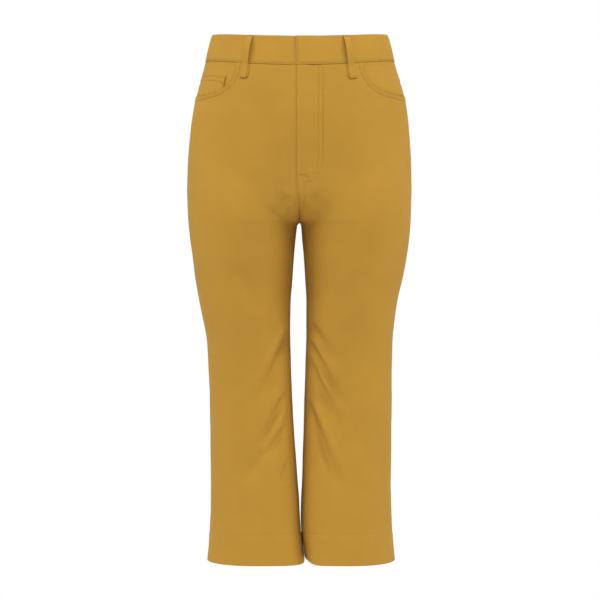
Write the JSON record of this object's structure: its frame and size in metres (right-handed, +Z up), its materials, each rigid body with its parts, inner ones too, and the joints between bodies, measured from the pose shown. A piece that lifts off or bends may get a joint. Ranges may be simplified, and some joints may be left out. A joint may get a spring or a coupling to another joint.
{
  "type": "cropped trousers",
  "caption": "Cropped kick-flare trousers filled out as if worn, with scooped front pockets, a coin pocket, a lapped fly, a waistband and belt loops.",
  "frame": {"origin": "middle of the waist, halfway up the waistband at its sides", "axes": "+Z up along the body, -Y to the front of the garment, +X to the wearer's left"},
  "size_m": [0.3362, 0.2457, 0.793],
  "materials": {
    "gabardine": "matte mustard cotton gabardine"
  },
  "bodies": {
    "root": {"front_right": "gabardine", "front_left": "gabardine", "back_right": "gabardine", "back_left": "gabardine", "yoke_right": "gabardine", "yoke_left": "gabardine", "pocket_facing_right": "gabardine", "pocket_facing_left": "gabardine", "coin_pocket": "gabardine", "waistband_right": "gabardine", "waistband_left": "gabardine", "belt_loop_front_right": "gabardine", "belt_loop_front_left": "gabardine", "belt_loop_side_right": "gabardine", "belt_loop_side_left": "gabardine", "belt_loop_back": "gabardine"}
  },
  "joints": []
}
